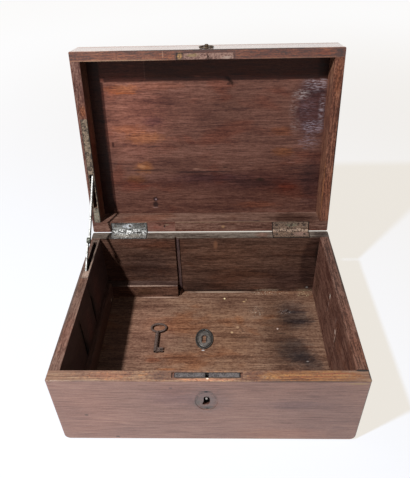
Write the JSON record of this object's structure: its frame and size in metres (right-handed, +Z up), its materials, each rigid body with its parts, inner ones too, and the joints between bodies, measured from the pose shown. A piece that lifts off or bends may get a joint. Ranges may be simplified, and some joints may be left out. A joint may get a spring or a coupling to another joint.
{
  "type": "desk letter box",
  "caption": "Wooden desk box for letters with a hinged tray lid, a slotted elbow stay, a box lock and a small ring pull; key and keyhole plate lie loose inside.",
  "frame": {"origin": "centre of the box's underside, on the surface it stands on", "axes": "+X to the right seen from the front, +Y to the back where the lid's hinges are, +Z up"},
  "size_m": [0.32, 0.3157, 0.3424],
  "materials": {
    "mahogany": "worn satin polish",
    "panel_wood": "worn satin polish",
    "pine": "matt, stained",
    "aged_brass": "dull with age",
    "bright_steel": "satin",
    "dark_steel": "dull",
    "rusty_iron": "rusted",
    "bronze": "dark patina"
  },
  "bodies": {
    "box": {"front_board": "mahogany", "back_board": "mahogany", "left_board": "mahogany", "right_board": "mahogany", "bottom_board": "pine", "bottom_brads": "rusty_iron", "back_ledge": "mahogany", "left_ledge": "mahogany", "divider_bead": "mahogany", "divider_stub": "mahogany", "hinge_left_box_leaf": "aged_brass", "hinge_right_box_leaf": "aged_brass", "hinge_left_pin": "bright_steel", "hinge_right_pin": "bright_steel", "hinge_box_screws": "aged_brass", "stay_box_plate": "aged_brass", "stay_box_pin": "aged_brass", "stay_box_screws": "aged_brass", "lock_selvedge": "dark_steel", "lock_case": "dark_steel", "lock_cap": "dark_steel", "lock_drill_pin": "dark_steel", "lock_bolt_studs": "dark_steel", "lock_screws": "dark_steel"},
    "lid": {"lid_front_rail": "mahogany", "lid_back_rail": "mahogany", "lid_left_rail": "mahogany", "lid_right_rail": "mahogany", "lid_top_board": "panel_wood", "lid_rail_patch": "mahogany", "hinge_left_lid_leaf": "aged_brass", "hinge_right_lid_leaf": "aged_brass", "hinge_lid_screws": "aged_brass", "stay_lid_plate": "aged_brass", "stay_lid_pin": "aged_brass", "stay_lid_screws": "aged_brass", "link_plate": "aged_brass", "link_staple": "aged_brass", "link_screws": "aged_brass", "ring_boss": "bronze"},
    "lower_arm": {"stay_lower_arm": "bright_steel", "stay_elbow_rivet": "aged_brass"},
    "upper_arm": {"stay_upper_arm": "bright_steel"},
    "ring": {"ring_pull": "bronze"},
    "bolt": {"lock_bolt": "dark_steel", "lock_bolt_spring": "bright_steel"},
    "key": {"key": "rusty_iron"},
    "escutcheon": {"escutcheon": "dark_steel"}
  },
  "joints": [
    {"name": "lid_hinge", "type": "hinge", "parent": "box", "child": "lid", "pos_m": [0, 0.1199, 0.106], "axis": [1, 0, 0], "range_deg": [0, 99.5]},
    {"name": "stay_lower_pivot", "type": "hinge", "parent": "box", "child": "lower_arm", "pos_m": [-0.154, 0.0385, 0.0981], "axis": [1, 0, 0], "range_deg": [-53, 0]},
    {"name": "stay_elbow", "type": "hinge", "parent": "lower_arm", "child": "upper_arm", "pos_m": [-0.153, 0.073, 0.12852], "axis": [1, 0, 0], "range_deg": [0, 165.7]},
    {"name": "ring_swing", "type": "hinge", "parent": "lid", "child": "ring", "pos_m": [0, 0.17588, 0.33875], "axis": [-1, 0, 0], "range_deg": [0, 175]},
    {"name": "bolt_slide", "type": "slide", "parent": "box", "child": "bolt", "axis": [-1, 0, 0], "range_m": [0, 0.006]},
    {"name": "key_lift", "type": "slide", "parent": "box", "child": "key", "axis": [0, 0, 1], "range_m": [0, 0.06]},
    {"name": "escutcheon_lift", "type": "slide", "parent": "box", "child": "escutcheon", "axis": [0, 0, 1], "range_m": [0, 0.06]}
  ],
  "couplings": [
    {"joint": "stay_lower_pivot", "follows": "lid_hinge", "ratio": -0.5313},
    {"joint": "stay_elbow", "follows": "lid_hinge", "ratio": 1.6641}
  ]
}
